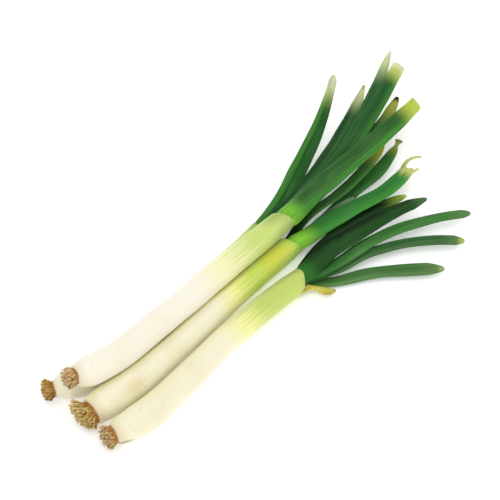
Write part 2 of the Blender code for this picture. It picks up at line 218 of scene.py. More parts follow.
def curve(places: Places | Array, t: Array) -> tuple[Array, Array, float]:
    """Reads the smooth line through the places.

    The spline's knots are chord lengths. Its slope at a place comes from the places on both sides.

    Args:
        places: The places that it passes.
        t: Fractions of its length, 0 to 1.

    Returns:
        The points at t, the unit directions there, and the line's length.
    """
    places = np.asarray(places, float)
    knots = np.concatenate([[0.0], np.cumsum(np.linalg.norm(np.diff(places, axis=0), axis=1))])
    slopes = np.gradient(places, knots, axis=0, edge_order=2 if len(places) > 2 else 1)
    fine = np.linspace(0.0, knots[-1], 321)
    left = np.clip(np.searchsorted(knots, fine, "right") - 1, 0, len(knots) - 2)
    span = (knots[left + 1] - knots[left])[:, None]
    line = hermite((fine - knots[left])[:, None] / span, places, slopes, left, span)
    reach = np.concatenate([[0.0], np.cumsum(np.linalg.norm(np.diff(line, axis=0), axis=1))])
    slope = np.gradient(line, reach, axis=0)
    where = np.asarray(t, float) * reach[-1]
    points, forward = (np.stack([np.interp(where, reach, values[:, k]) for k in range(3)], axis=1)
                       for values in (line, slope))
    return points, unit(forward), float(reach[-1])


def at_steps(values: tuple[float, ...], t: Array) -> Array:
    """Reads the smooth line through values that stand at even steps of t, an array of any shape."""
    known = np.asarray(values, float)
    steps = np.linspace(0.0, 1.0, len(known))
    left = np.clip(np.searchsorted(steps, t, "right") - 1, 0, len(steps) - 2)
    return hermite((t - steps[left]) / steps[1], known, np.gradient(known, steps), left, steps[1])


@dataclass(frozen=True)
class Run:
    """A line in space with its section's left and up directions, by millimetres from its start."""

    reach: Array
    points: Array
    side: Array
    up: Array

    @classmethod
    def along(cls, reach: Array, points: Array, forward: Array) -> "Run":
        """A run whose section stands upright: left is Z x forward, and up is forward x left."""
        side = unit(np.cross([0.0, 0.0, 1.0], forward))
        return cls(reach, points, side, np.cross(forward, side))

    def read(self, values: Array, reach: Array) -> Array:
        """Vectors kept along the run, read at distances of any shape."""
        return np.stack([np.interp(reach, self.reach, values[:, k]) for k in range(3)], axis=-1)

    def offset(self, reach: Array, across: Array, above: Array) -> Array:
        """Points beside the run: run(reach) + across * left(reach) + above * up(reach)."""
        return (self.read(self.points, reach) + across[..., None] * self.read(self.side, reach)
                + above[..., None] * self.read(self.up, reach))


@dataclass(frozen=True)
class Skin:
    """Points, faces and per-point fields of closed surfaces, in layout millimetres."""

    points: Array
    quads: Array
    caps: Array
    fields: dict[str, Array]

    @classmethod
    def over(cls, rings: Array, fields: dict[str, Array], looped: bool = False) -> "Skin":
        """Covers grids of rings with quads, and closes each with a pole at both ends.

        A quad joins points k and k + 1 of a ring to those of the next ring. A pole is its ring's mean.

        Args:
            rings: Points as (..., rings, sides, 3), with any grids of one shape in front.
            fields: Vectors for each point, in the same shape.
            looped: The last ring joins the first instead, with no poles.

        Returns:
            The skin of all the grids.
        """
        shape = rings.shape[-3:]
        count, sides = shape[:2]

        def with_poles(values: Array) -> Array:
            """Values of each grid as one row of points, with those of its poles after them."""
            grids = values.reshape(-1, *shape)
            flat = grids.reshape(len(grids), -1, 3)
            if looped:
                return flat
            return np.concatenate([flat, grids[:, [0, -1]].mean(axis=2)], axis=1)

        points = with_poles(rings)
        k = np.arange(sides)
        after = (k + 1) % sides
        ring = np.arange(count if looped else count - 1)[:, None]
        above = (ring + 1) % count
        quads = np.stack([ring * sides + k, ring * sides + after, above * sides + after,
                          above * sides + k], axis=-1).reshape(-1, 4)
        last = (count - 1) * sides
        pole = np.full(sides, count * sides)
        caps = np.concatenate([np.stack([after, k, pole], axis=1),
                               np.stack([last + k, last + after, pole + 1], axis=1)])
        if looped:
            caps = np.zeros((0, 3), int)
        shift = (np.arange(len(points)) * points.shape[1])[:, None, None]
        return cls(points.reshape(-1, 3), (quads + shift).reshape(-1, 4), (caps + shift).reshape(-1, 3),
                   {name: with_poles(values).reshape(-1, 3) for name, values in fields.items()})

    @classmethod
    def joined(cls, skins: list["Skin"]) -> "Skin":
        """Several skins as one, with the same fields."""
        starts = np.cumsum([0] + [len(skin.points) for skin in skins[:-1]])
        return cls(np.concatenate([skin.points for skin in skins]),
                   np.concatenate([skin.quads + start for skin, start in zip(skins, starts)]),
                   np.concatenate([skin.caps + start for skin, start in zip(skins, starts)]),
                   {name: np.concatenate([skin.fields[name] for skin in skins])
                    for name in skins[0].fields})

    def piece(self, name: str, finish: bpy.types.Material, slot: Slot, node: str) -> bpy.types.Object:
        """Makes the skin a piece of the scene.

        Args:
            name: The piece's name.
            finish: Its material.
            slot: The record's slot that it belongs to; not used.
            node: The CAD node that it stands for.

        Returns:
            The piece, at the origin, with its place in its mesh.
        """
        mesh = bpy.data.meshes.new(name)
        placed = (self.points - FOOTPRINT_MIDDLE) * MM
        mesh.from_pydata(placed.tolist(), [], self.quads.tolist() + self.caps.tolist())
        for key, values in self.fields.items():
            layer = mesh.attributes.new(key, "FLOAT_VECTOR", "POINT")
            layer.data.foreach_set("vector", values.astype(np.float32).ravel())
        mesh.shade_smooth()
        mesh.set_sharp_from_angle(angle=SHARP)
        mesh.materials.append(finish)
        made = bpy.data.objects.new(name, mesh)
        bpy.context.scene.collection.objects.link(made)
        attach(made, "root")
        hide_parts(node)
        LOG.info("%s: %d points, stands for %s", name, len(self.points), node)
        return made


def cover(tree: bpy.types.NodeTree, colour: Source, value: Source, shade: str, start: float, end: float,
          most: float = 1.0, bend: str = "SMOOTHSTEP") -> bpy.types.NodeSocket:
    """Lays a shade over a colour, by how far a value is on its way from start to end.

    Args:
        tree: The node tree.
        colour: The colour below.
        value: The value that decides.
        shade: The shade as "#rrggbb".
        start: The value at which the shade begins.
        end: The value from which on it has its full share.
        most: That full share.
        bend: Name of the interpolation between them.

    Returns:
        The mixed colour.
    """
    share = add_node(tree, "MapRange", {"interpolation_type": bend, "From Min": start, "From Max": end,
                                        "To Max": most}, {"Value": value})
    mixed = add_node(tree, "Mix", {"data_type": "RGBA", MIX_B: linear(shade)},
                     {MIX_FACTOR: share, MIX_A: colour})
    return mixed.outputs[MIX_RESULT]


def new_tree(name: str) -> tuple[bpy.types.Material, bpy.types.NodeTree, bpy.types.Node]:
    """A material with its node tree and its Principled shader."""
    made = bpy.data.materials.new(name)
    made.use_nodes = True
    return made, made.node_tree, made.node_tree.nodes["Principled BSDF"]


@dataclass(frozen=True)
class Spot:
    """A soft-edged spot on a sheath: its place along it and round it, its size and its colour."""

    reach: float
    turn: float
    size: float
    shade: str
    share: float = 0.7

    def centre(self, radius: float) -> tuple[float, float, float]:
        """The spot's middle, drawn out along the sheath: distance along, radius * cos, radius * sin."""
        turn = math.radians(self.turn)
        return SPOT_STRETCH * self.reach, radius * math.cos(turn), radius * math.sin(turn)


@dataclass(frozen=True)
class PaintedCrevice:
    """Painted crevice shade and light on a sheath where a neighbour lies close, by its turn and half width
    in degrees.

    Its two shades are for the white part of the sheath and for the green part.
    """

    turn: float
    half: float
    pale: str = "#f9f1cb"
    green: str = "#b4c45c"
    share: float = 0.8
    core: float = 0.35


@dataclass(frozen=True)
class SheathFinish:
    """Leaf sheath of a spring onion: a thin waxy skin over pale, watery flesh that light enters.

    Blanched under soil it is ivory, and it turns lime and green where it saw daylight. Its veins run
    along it about a millimetre apart, and it gives a soft, moist gloss.
    """

    ivory_to: float
    lime_from: float
    length: float
    lime: str
    neck: str
    radius: float = 8.0
    stain: str = "#d2c193"
    ivory: str = "#efeadc"
    cream: str = "#f0ebba"
    patch: str = "#d8c98c"
    soil: str = "#9a9a72"
    patch_share: float = 0.15
    stain_reach: float = 5.0
    neck_reach: float = 10.0
    ragged: float = 17.0
    spots: tuple[Spot, ...] = ()
    painted_crevices: tuple[PaintedCrevice, ...] = ()

    def material(self, name: str) -> bpy.types.Material:
        """Builds the material, which reads the fields "straight" and "place" in millimetres.

        Args:
            name: The material's name.

        Returns:
            The material.
        """
        made, tree, shader = new_tree(name)
        straight, place = (add_node(tree, "Attribute", {"attribute_name": key}).outputs["Vector"]
                           for key in ("straight", "place"))
        reach = add_node(tree, "SeparateXYZ", links={0: place}).outputs["X"]
        # Veins: about 1.1 mm apart, and some 60 mm long before they run together.
        stretched = add_node(tree, "VectorMath", {"operation": "MULTIPLY", 1: SHEATH_VEINS}, {0: straight})
        veins = add_node(tree, "TexNoise", {"Scale": 1.0, "Detail": 3.0, "Roughness": 0.55},
                         {"Vector": stretched})
        # The green ends along single veins, some millimetres before or after the others.
        shift = add_node(tree, "Math", {"operation": "MULTIPLY_ADD", 1: 2.0 * self.ragged,
                                        2: -self.ragged}, {0: veins})
        moved = add_node(tree, "Math", {"operation": "ADD"}, {0: reach, 1: shift})
        way = add_node(tree, "Math", {"operation": "DIVIDE", 1: self.length}, {0: moved})
        middle = (self.ivory_to + self.lime_from) / 2
        stops = ((0.0, self.ivory), (self.ivory_to / self.length, self.ivory),
                 (middle / self.length, self.cream), (self.lime_from / self.length, self.lime),
                 (1.0 - self.neck_reach / self.length, self.lime), (1.0, self.neck))
        body = add_node(tree, "ValToRGB", {"stops": stops}, {"Fac": way})
        # Darker veins, stronger where the sheath is green.
        dark = add_node(tree, "MapRange", {"From Min": 0.42, "From Max": 0.62, "To Max": 0.22},
                        {"Value": veins})
        lit = add_node(tree, "MapRange", {"From Min": self.ivory_to, "From Max": self.length,
                                          "To Min": 0.18}, {"Value": reach})
        # Specks of soil under the skin near the roots, about 1 mm long.
        drawn = add_node(tree, "VectorMath", {"operation": "MULTIPLY", 1: SPECKS}, {0: straight})
        grains = add_node(tree, "TexNoise", {"Scale": 0.75, "Detail": 1.0}, {"Vector": drawn})
        speck = add_node(tree, "MapRange", {"From Min": 0.69, "From Max": 0.76, "To Max": 0.35},
                         {"Value": grains})
        near = add_node(tree, "MapRange", {"From Min": 55.0, "From Max": 12.0}, {"Value": reach})
        # Bruised patches, 15 to 30 mm across, lie over the veins and under the specks.
        broad = add_node(tree, "TexNoise", {"Scale": 0.055, "Detail": 2.0}, {"Vector": straight})
        colour = body.outputs["Color"]
        for shade, first, second in ((self.neck, dark, lit), (self.soil, speck, near)):
            share = add_node(tree, "Math", {"operation": "MULTIPLY"}, {0: first, 1: second})
            mixed = add_node(tree, "Mix", {"data_type": "RGBA", MIX_B: linear(shade)},
                             {MIX_FACTOR: share, MIX_A: colour})
            colour = mixed.outputs[MIX_RESULT]
            if first is dark:
                colour = cover(tree, colour, broad, self.patch, 0.5, 0.72, self.patch_share, "LINEAR")
        # The skin is stained by the roots over its first millimetres.
        colour = cover(tree, colour, reach, self.stain, self.stain_reach, -1.0, 0.45, "LINEAR")
        round_way = add_node(tree, "VectorMath", {"operation": "MULTIPLY", 1: (0.0, 1.0, 1.0)},
                             {0: straight})
        outward = add_node(tree, "VectorMath", {"operation": "NORMALIZE"}, {0: round_way})
        # Painted crevice shade and light: where a neighbouring stem lies close, the sheath is mixed toward
        # a pale or green shade that stands in for the crevice's shade and warm bounce light.
        for painted_crevice in self.painted_crevices:
            turn, half = math.radians(painted_crevice.turn), math.radians(painted_crevice.half)
            facing = add_node(tree, "VectorMath", {"operation": "DOT_PRODUCT",
                                                   1: (0.0, math.cos(turn), math.sin(turn))}, {0: outward})
            pressed = add_node(tree, "MapRange",
                               {"interpolation_type": "SMOOTHSTEP", "From Min": math.cos(half),
                                "From Max": math.cos(half * painted_crevice.core), "To Max": painted_crevice.share},
                               {"Value": facing.outputs["Value"]})
            crevice_shade = add_node(tree, "Mix", {"data_type": "RGBA", MIX_A: linear(painted_crevice.pale),
                                          MIX_B: linear(painted_crevice.green)}, {MIX_FACTOR: lit})
            crevice_mixed = add_node(tree, "Mix", {"data_type": "RGBA"},
                              {MIX_FACTOR: pressed, MIX_A: colour, MIX_B: crevice_shade.outputs[MIX_RESULT]})
            colour = crevice_mixed.outputs[MIX_RESULT]
        drawn_out = add_node(tree, "VectorMath", {"operation": "MULTIPLY", 1: (SPOT_STRETCH, 1.0, 1.0)},
                             {0: straight})
        for spot in self.spots:
            far = add_node(tree, "VectorMath", {"operation": "DISTANCE", 1: spot.centre(self.radius)},
                           {0: drawn_out})
            colour = cover(tree, colour, far.outputs["Value"], spot.shade, spot.size, spot.size * 0.2,
                           spot.share)
        relief = add_node(tree, "Bump", {"Strength": 0.25, "Distance": 0.0003}, {"Height": veins})
        gloss = add_node(tree, "MapRange", {"To Min": 0.34, "To Max": 0.5}, {"Value": broad})
        # Watery flesh: light goes a millimetre or two into it and comes back yellow.
        set_shader(shader, {"IOR": 1.38, "Subsurface Weight": 0.6, "Subsurface Radius": (1.0, 0.9, 0.6),
                            "Subsurface Scale": 0.003},
                   {"Base Color": colour, "Normal": relief, "Roughness": gloss})
        return made


@dataclass(frozen=True)
class LeafFinish:
    """Leaf blade of a spring onion: waxy green skin with close parallel veins.

    It is yellow-green where it leaves the sheath, deep green along the blade with a grey bloom of wax,
    and fades or scorches at the cut or dried end. On some leaves the base shade is near black instead, as
    painted shade where the blade lies under others. The edge shade is painted light and shade on one side
    of the blade, brighter where that side is lit and darker where it lies in shade: the left for edge_at
    over 0, and the right under 0.
    """

    base: str
    blade: str
    edge: str
    bloom: str
    tip: str
    scorch: str
    base_reach: float = 16.0
    tip_reach: float = 10.0
    scorch_reach: float = 1.5
    bloom_share: float = 0.45
    edge_at: float = -0.5
    inside: str = "#c9d592"
    ragged: float = 8.0

    def material(self, name: str) -> bpy.types.Material:
        """Builds the material, which reads the fields "straight", "place" and "mark".

        Args:
            name: The material's name.

        Returns:
            The material.
        """
        made, tree, shader = new_tree(name)
        straight, place, mark = (add_node(tree, "Attribute", {"attribute_name": key}).outputs["Vector"]
                                 for key in ("straight", "place", "mark"))
        split = add_node(tree, "SeparateXYZ", links={0: place})
        marks = add_node(tree, "SeparateXYZ", links={0: mark})
        # Veins: about 0.8 mm apart, drawn a little wider than real ones so that they show. Wax bloom:
        # drifts some 25 mm long and a few millimetres wide.
        drawn = [add_node(tree, "VectorMath", {"operation": "MULTIPLY", 1: scales}, {0: straight})
                 for scales in (LEAF_VEINS, WAX_DRIFTS)]
        veins, wax = (add_node(tree, "TexNoise", {"Scale": 1.0, "Detail": 3.0, "Roughness": 0.6},
                               {"Vector": where}) for where in drawn)
        # The colours at both ends begin along single veins, some millimetres before or after the others.
        shift = add_node(tree, "Math", {"operation": "MULTIPLY_ADD", 1: 2.0 * self.ragged,
                                        2: -self.ragged}, {0: veins})
        from_base, to_tip = (add_node(tree, "Math", {"operation": "ADD"},
                                      {0: split.outputs[axis], 1: shift}) for axis in ("X", "Y"))
        # Painted light and shade: one side of the blade is mixed toward the edge shade, a brighter green
        # where that side is lit and a darker one where it lies in shade.
        side = add_node(tree, "MapRange", {"interpolation_type": "SMOOTHSTEP",
                                           "From Min": self.edge_at * 0.2, "From Max": self.edge_at * 1.6},
                        {"Value": split.outputs["Z"]})
        side_painted = add_node(tree, "Mix", {"data_type": "RGBA", MIX_A: linear(self.blade),
                                       MIX_B: linear(self.edge)}, {MIX_FACTOR: side})
        colour = cover(tree, side_painted.outputs[MIX_RESULT], wax, self.bloom, 0.42, 0.7, self.bloom_share,
                       "LINEAR")
        for value, shade, start, end in (
                (from_base, self.base, self.base_reach, 0.0),
                (to_tip, self.tip, self.tip_reach * 1.3, self.tip_reach * 0.3),
                (split.outputs["Y"], self.scorch, self.scorch_reach * 1.4, self.scorch_reach * 0.4)):
            colour = cover(tree, colour, value, shade, start, end)
        shade = add_node(tree, "MapRange", {"From Min": 0.35, "From Max": 0.65, "To Min": 0.78,
                                            "To Max": 1.22}, {"Value": veins})
        veined = add_node(tree, "VectorMath", {"operation": "SCALE"}, {0: colour, "Scale": shade})
        lined = add_node(tree, "Mix", {"data_type": "RGBA", MIX_B: linear(self.inside)},
                         {MIX_FACTOR: marks, MIX_A: veined})
        relief = add_node(tree, "Bump", {"Strength": 0.35, "Distance": 0.00025}, {"Height": veins})
        gloss = add_node(tree, "MapRange", {"To Min": 0.36, "To Max": 0.62}, {"Value": wax})
        # A wax film over the skin: dull, with less glare than a wet leaf.
        set_shader(shader, {"IOR": 1.42, "Specular IOR Level": 0.1},
                   {"Base Color": lined.outputs[MIX_RESULT], "Normal": relief, "Roughness": gloss})
        return made


@dataclass(frozen=True)
class RootFinish:
    """Dry onion root: corky brown at the plate, straw to cream at the cut ends, with no gloss."""

    base: str
    shank: str
    end: str
    under: str = "#7a5230"
    under_share: float = 0.35

    def material(self, name: str) -> bpy.types.Material:
        """Builds the material, which reads the fields "straight" and "place".

        Args:
            name: The material's name.

        Returns:
            The material.
        """
        made, tree, shader = new_tree(name)
        straight, place = (add_node(tree, "Attribute", {"attribute_name": key}).outputs["Vector"]
                           for key in ("straight", "place"))
        split = add_node(tree, "SeparateXYZ", links={0: place})
        # Grit and shrivelled skin, about 0.7 mm.
        grit = add_node(tree, "TexNoise", {"Scale": 1.4, "Detail": 4.0, "Roughness": 0.65},
                        {"Vector": straight})
        rough_way = add_node(tree, "Math", {"operation": "MULTIPLY_ADD", 1: 0.5, 2: -0.25}, {0: grit})
        way = add_node(tree, "Math", {"operation": "ADD"}, {0: split.outputs["Y"], 1: rough_way})
        each = add_node(tree, "Math", {"operation": "MULTIPLY_ADD", 1: 0.25},
                        {0: split.outputs["Z"], 2: way})
        stops = ((0.0, self.base), (0.45, self.shank), (0.7, self.shank), (1.0, self.end))
        body = add_node(tree, "ValToRGB", {"stops": stops}, {"Fac": each})
        # The lower side is darker, mixed toward the under shade.
        heights = add_node(tree, "SeparateXYZ", links={0: straight})
        colour = cover(tree, body, heights.outputs["Z"], self.under, 1.5, -4.0, self.under_share)
        relief = add_node(tree, "Bump", {"Strength": 0.6, "Distance": 0.0003}, {"Height": grit})
        set_shader(shader, {"Roughness": 0.85, "Specular IOR Level": 0.2},
                   {"Base Color": colour, "Normal": relief})
        return made


@dataclass(frozen=True)
class FloorFinish:
    """Matt white paper sweep that the bunch lies on, lit from below too so that it stays white."""

    shade: str = "#f9f9f9"
    glow: float = 0.25

    def material(self, name: str) -> bpy.types.Material:
        """Builds the material, with a paper tooth that shows only as softness.

        Args:
            name: The material's name.

        Returns:
            The material.
        """
        made, tree, shader = new_tree(name)
        where = add_node(tree, "TexCoord")
        tooth = add_node(tree, "TexNoise", {"Scale": 900.0, "Detail": 2.0},
                         {"Vector": where.outputs["Object"]})
        relief = add_node(tree, "Bump", {"Strength": 0.05, "Distance": 0.0002}, {"Height": tooth})
        set_shader(shader, {"Base Color": linear(self.shade), "Roughness": 0.9, "Specular IOR Level": 0.1,
                            "Emission Color": linear("#ffffff"), "Emission Strength": self.glow},
                   {"Normal": relief})
        return made


@dataclass(frozen=True)
class Stem:
    """Bulb, white shaft and neck, which are leaf sheaths wrapped round each other.

    Heights in the run of a stem on the surface are counted from where its girth puts it. The mouth is
    the open end that the leaves come out of. Its edge is longest at the turn mouth_lean.
    """

    run: Places
    rest: Rest
    bulb_radius: float
    shaft_radius: float
    neck_radius: float
    end_radius: float
    rounding: float
    finish: SheathFinish
    seed: int
    mouth_slant: float = 7.0
    mouth_lean: float = 200.0
    rows: int = 210
    sides: int = 88
    wall: float = 0.4
    mouth_depth: float = 7.0
    drawn_in: float = 0.08
    drawn_over: float = 14.0
    slant_over: float = 45.0
    ragged: float = 0.5
    dome: float = 1.8
    bulb_at: float = 18.0
    bulb_spread: float = 26.0
    relief: float = 0.12
    relief_length: float = 38.0
    seam_turn: float = math.radians(75.0)
    seam_twist: float = 210.0
    seam_height: float = 0.2

    def girth(self, reach: Array, length: float) -> Array:
        """Radius before the root end is drawn in: an even taper, plus the bulb's bell exp(-x^2)."""
        shaft = self.shaft_radius + (self.neck_radius - self.shaft_radius) * reach / length
        bell = np.exp(-((reach - self.bulb_at) / self.bulb_spread) ** 2)
        return shaft + (self.bulb_radius - self.shaft_radius) * bell

    def line(self, steps: int = 400) -> Run:
        """The stem's midline, raised by its girth where it lies on the surface."""
        t = np.linspace(0.0, 1.0, steps)
        points, forward, length = curve(self.run, t)
        if self.rest is Rest.SURFACE:
            points[:, 2] += PRESSED * self.girth(t * length, length)
        before = np.array([-10.0])
        return Run.along(np.concatenate([before, t * length]),
                         np.concatenate([points[:1] + before[:, None] * forward[:1], points]),
                         np.concatenate([forward[:1], forward]))

    def end(self) -> tuple[Array, Array, Array, Array]:
        """Point, left, up and forward at the middle of the mouth."""
        line = self.line()
        side, up = line.side[-1], line.up[-1]
        return line.points[-1], side, up, np.cross(side, up)

    def skin(self) -> Skin:
        """Works out the skin of the stem, over its mouth's lip and down inside it.

        The radius is the girth, drawn in to the root plate as sin(quarter turn)^0.8 over the rounding
        and by drawn_in near the mouth, with a slow relief and the free edge of the outer sheath standing
        proud. The root end is a dome, dome * sqrt(1 - r^2) high. Each line along the stem ends short of
        the mouth by slant * (1 - cos(turn - lean)) / 2 and a little raggedness.

        Returns:
            The skin, with its fields.
        """
        line = self.line()
        length = line.reach[-1]
        turn = (np.arange(self.sides) + 0.5) * 2.0 * math.pi / self.sides
        spread = np.linspace(0.0, 1.0, self.rows)[:, None] ** 1.25 * length
        lean = math.radians(self.mouth_lean)
        short = self.mouth_slant * (1.0 - np.cos(turn - lean)) / 2.0
        short = short + self.ragged * (1.0 + ripple(self.seed, np.zeros_like(turn), turn, 1.0, 7))
        reach = spread - short * ease(spread, length - self.slant_over, length)
        full = self.girth(reach, length)
        drawn = np.sin(np.clip(reach / self.rounding, 0.0, 1.0) * math.pi / 2.0) ** 0.8
        radius = self.end_radius + (full - self.end_radius) * drawn
        radius = radius * (1.0 - self.drawn_in * ease(reach, length - self.drawn_over, length))
        uneven = ripple(self.seed + 50, reach, turn, self.relief_length, 3)
        radius = radius + self.relief * uneven * ease(reach, 2.0, 12.0)
        seam = (turn - self.seam_turn - reach / self.seam_twist + math.pi) % (2.0 * math.pi) - math.pi
        radius = radius + self.seam_height * ease(seam, -0.04, 0.04) * (1.0 - ease(seam, 0.04, 1.2))
        bow = np.linspace(0.06, 1.0, 12, endpoint=False)[:, None]
        dome_reach = -self.dome * np.sqrt(1.0 - bow**2) * np.ones_like(turn)
        reach = np.concatenate([dome_reach, reach])
        radius = np.concatenate([self.end_radius * bow * np.ones_like(turn), radius])
        inner_reach = reach[-1] - np.array([0.0, 0.5, 1.0])[:, None] * self.mouth_depth
        inner_radius = (radius[-1] - self.wall) * np.array([1.0, 0.93, 0.78])[:, None]
        reach = np.concatenate([reach, inner_reach])
        radius = np.concatenate([radius, inner_radius])
        across, above = radius * np.cos(turn), radius * np.sin(turn)
        rings = line.offset(reach, across, above)
        rings[..., 2] = np.maximum(rings[..., 2], 0.0)
        inside = np.zeros_like(reach)
        inside[self.rows + len(bow):] = 1.0
        return Skin.over(rings, {"straight": np.stack([reach, across, above], axis=-1),
                                 "place": np.stack([reach, length - reach, inside], axis=-1)})

    def build(self, name: str) -> bpy.types.Object:
        """Builds the stem and dresses it in its sheath finish."""
        return self.skin().piece(f"{name}_sheaths", self.finish.material(f"{name}_sheath"), Slot.SHEATH,
                                 f"{name}_stem")


@dataclass(frozen=True)
class Strip:
    """A narrow strip that a torn leaf end leaves standing, from its start across the leaf's end."""

    across: float
    width: float
    run: Places
    rooted: float = 7.0


@dataclass(frozen=True)
class Leaf:
    """One leaf blade: its seat on the stem's end, the places its midline passes, and its section.

    The seat is a place to the left and above the middle of the stem's end. Widths and depths stand at
    even steps from base to tip, point is the length of the pointed end, and fold is how far the blade's
    edges are bent up from its midline. The crease is a groove at a place across the upper side, -1 to
    1, and roll is how far the tip is turned about the blade's own line.
    """

    name: str
    seat: tuple[float, float]
    run: Places
    widths: tuple[float, ...]
    depths: tuple[float, ...]
    finish: LeafFinish
    point: float = 0.0
    fold: float = 0.0
    end: LeafEnd = LeafEnd.POINTED
    strips: tuple[Strip, ...] = ()
    crease: tuple[float, float] = (0.0, 0.35)
    roll: float = 0.0
    cut_slant: float = 0.0
    cut_lean: float = 0.0
    rows: int = 150
    sides: int = 40
    sunk: float = 9.0
    wall: float = 0.55
    open_depth: float = 15.0
    grip_over: float = 14.0
    hug_over: float = 24.0
    wave: float = 0.035
    wave_length: float = 33.0
    warp: float = 0.3
    warp_length: float = 42.0
    groove_width: float = 0.2
    blunt_over: float = 0.9

    def line(self, stem: Stem) -> tuple[Run, float]:
        """Works out the midline, from inside the stem to the tip.

        The blade's section turns from the stem's own to its run's over the first grip_over
        millimetres, and rolls by roll * ease(reach).

        Args:
            stem: The stem that it grows from.

        Returns:
            The run, whose distances are counted from the seat, and its length past the seat.
        """
        point, stem_side, stem_up, stem_forward = stem.end()
        seat = point + stem_side * self.seat[0] + stem_up * self.seat[1] + stem_forward * GAP
        t = np.linspace(0.0, 1.0, 300)
        points, forward, length = curve(np.array([seat, *self.run]), t)
        own = Run.along(t * length, points, forward)
        grip = 1.0 - ease(own.reach, 0.0, self.grip_over)[:, None]
        side = unit(own.side * (1.0 - grip) + stem_side * grip)
        up = unit(own.up * (1.0 - grip) + stem_up * grip)
        angle = math.radians(self.roll) * ease(own.reach, 0.2 * length, length)[:, None]
        side, up = side * np.cos(angle) + up * np.sin(angle), up * np.cos(angle) - side * np.sin(angle)
        back = np.linspace(-self.sunk, 0.0, 12, endpoint=False)
        inward = -0.22 * ease(-back, 0.0, self.sunk)[:, None] * (stem_side * self.seat[0]
                                                                 + stem_up * self.seat[1])
        inside = seat + stem_forward * back[:, None] + inward
        hold = np.ones((len(back), 1))
        return Run(np.concatenate([back, own.reach]), np.concatenate([inside, points]),
                   np.concatenate([hold * stem_side, side]), np.concatenate([hold * stem_up, up])), length

    def taper(self, left: Array) -> Array:
        """Share of its width that the blade keeps at a distance left to the tip.

        A point narrows as the square root of the distance left. A withered end narrows to a neck, by a
        bell of 45 %, and spreads again in a cap.
        """
        if self.end is LeafEnd.WITHERED:
            neck = 1.0 - 0.5 * np.exp(-((left - 5.0) / 3.5) ** 2) + 0.55 * np.exp(-((left / 1.8) ** 2))
            return neck * np.sqrt(np.clip((left + 0.3) / 1.2, 0.0, 1.0))
        if not self.point:
            return np.ones_like(left)
        return np.sqrt(np.clip((left + 0.6) / self.point, 0.0, 1.0))

    def ending(self, turn: Array) -> Array:
        """How far short of the run's end the blade stops, by the turn around it.

        A cut slopes by slant * (1 - cos(turn - lean)) / 2 with little raggedness, and a torn edge is
        ragged by some 3 mm.
        """
        slope = self.cut_slant * (1.0 - np.cos(turn - math.radians(self.cut_lean))) / 2.0
        rag = {LeafEnd.OPEN: 0.3, LeafEnd.TORN: 1.6}.get(self.end, 0.0)
        seed = len(self.name) * 7
        return slope + rag * (1.0 + ripple(seed, np.zeros_like(turn), turn, 1.0, 5))

    def section(self, reach: Array, turn: Array, length: float, stem: Stem) -> tuple[Array, Array]:
        """Works out the blade's section: offsets across and above its midline.

        Across is half the width * cos(turn), above is half the depth * sin(turn). The edges are bent up
        by fold * (|cos| - 0.6), the base is bent round the neck by R - sqrt(R^2 - across^2), the upper
        side has a groove exp(-((cos - place) / groove_width)^2), and both have a slow relief.

        Args:
            reach: Distances from the seat, one row for each ring.
            turn: Angles around the section.
            length: The blade's length.
            stem: The stem that it wraps at its base.

        Returns:
            Offsets across and above.
        """
        t = np.clip(reach / length, 0.0, 1.0)
        left = length - reach
        taper = self.taper(left)
        seed = len(self.name) * 13 + int(abs(self.seat[1]) * 10)
        slim = 1.0 - 0.12 * (1.0 - ease(reach, -6.0, 1.0))
        half_width = at_steps(self.widths, t) / 2.0 * taper * slim
        half_width = half_width * (1.0 + self.wave * ripple(seed, reach, 0.0 * turn, self.wave_length, 0))
        half_depth = at_steps(self.depths, t) / 2.0 * np.maximum(taper, 0.5)
        if self.end in (LeafEnd.POINTED, LeafEnd.WITHERED):
            blunt = np.clip(left / self.blunt_over, 0.0, 1.0)
            closing = np.sqrt(np.clip(blunt * (2.0 - blunt), 0.0, 1.0))
            half_width, half_depth = half_width * closing, half_depth * closing
        cosine, sine = np.cos(turn), np.sin(turn)
        across = half_width * cosine
        above = half_depth * sine
        spread = np.sin(np.clip(t * 3.0, 0.0, 1.0) * math.pi / 2.0) * taper
        above = above + self.fold * (np.abs(cosine) - 0.6) * spread
        free = ease(reach, 6.0, 34.0) * ease(left, 2.0, 16.0)
        groove = np.exp(-(((cosine - self.crease[0]) / self.groove_width) ** 2)) * ease(sine, -0.2, 0.5)
        above = above - self.crease[1] * groove * free * np.minimum(half_depth, 1.4)
        warped = ripple(seed + 3, reach, turn, self.warp_length, 2)
        above = above + self.warp * warped * cosine**2 * free
        hug = 1.0 - ease(reach, 0.0, self.hug_over)
        round_neck = stem.neck_radius * 0.92
        drop = round_neck - np.sqrt(np.clip(round_neck**2 - across**2, 0.0, None))
        return across, above - math.copysign(1.0, self.seat[1]) * drop * hug * 0.8

